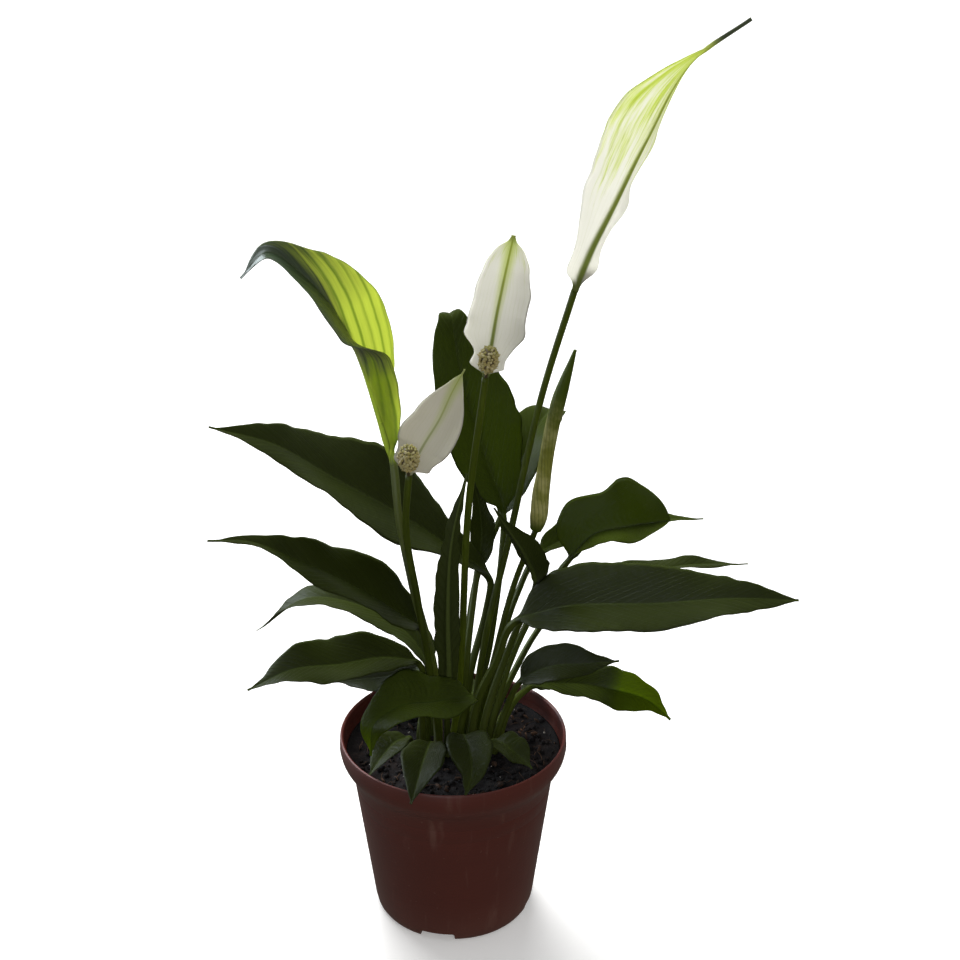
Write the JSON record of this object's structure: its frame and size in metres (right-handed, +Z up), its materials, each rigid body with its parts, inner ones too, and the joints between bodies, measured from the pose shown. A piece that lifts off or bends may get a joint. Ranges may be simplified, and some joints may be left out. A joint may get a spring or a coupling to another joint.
{
  "type": "potted peace lily",
  "caption": "Young flowering peace lily with arching green leaves, white blooms and a rolled bud, standing in soil in a plain round nursery pot.",
  "frame": {"origin": "on the ground under the pot's axis, in the middle of the flat boss of its underside", "axes": "+Z up along the pot's axis; +Y towards the back, so the side that the blooms face is -Y; +X to the right seen from the front"},
  "size_m": [0.2872, 0.1919, 0.4804],
  "materials": {
    "pot": "satin",
    "soil": "matte",
    "leaf": "satin",
    "flower_stalk": "satin",
    "spathe": "matte",
    "spadix": "matte",
    "bud": "matte"
  },
  "bodies": {
    "root": {"pot": "pot", "soil": "soil", "leaf_arched_left": "leaf", "leaf_bright_front": "leaf", "leaf_curled_left": "leaf", "leaf_far_left": "leaf", "leaf_far_right": "leaf", "leaf_inner_back": "leaf", "leaf_inner_front": "leaf", "leaf_long_left": "leaf", "leaf_long_right": "leaf", "leaf_lower_left": "leaf", "leaf_lower_right": "leaf", "leaf_lowest_right": "leaf", "leaf_narrow_right": "leaf", "leaf_small_back": "leaf", "leaf_small_back_left": "leaf", "leaf_small_back_middle": "leaf", "leaf_small_front": "leaf", "leaf_small_front_left": "leaf", "leaf_small_front_right": "leaf", "leaf_small_left": "leaf", "leaf_tall_centre": "leaf", "leaf_tall_right": "leaf", "leaf_under_left": "leaf", "leaf_upright_front": "leaf", "leaf_wavy_right": "leaf", "bloom_tall_stalk": "flower_stalk", "bloom_tall_spathe": "spathe", "bloom_tall_spadix": "spadix", "bloom_centre_stalk": "flower_stalk", "bloom_centre_spathe": "spathe", "bloom_centre_spadix": "spadix", "bloom_left_stalk": "flower_stalk", "bloom_left_spathe": "spathe", "bloom_left_spadix": "spadix", "bud_stalk": "flower_stalk", "bud_spathe": "bud"}
  },
  "joints": []
}
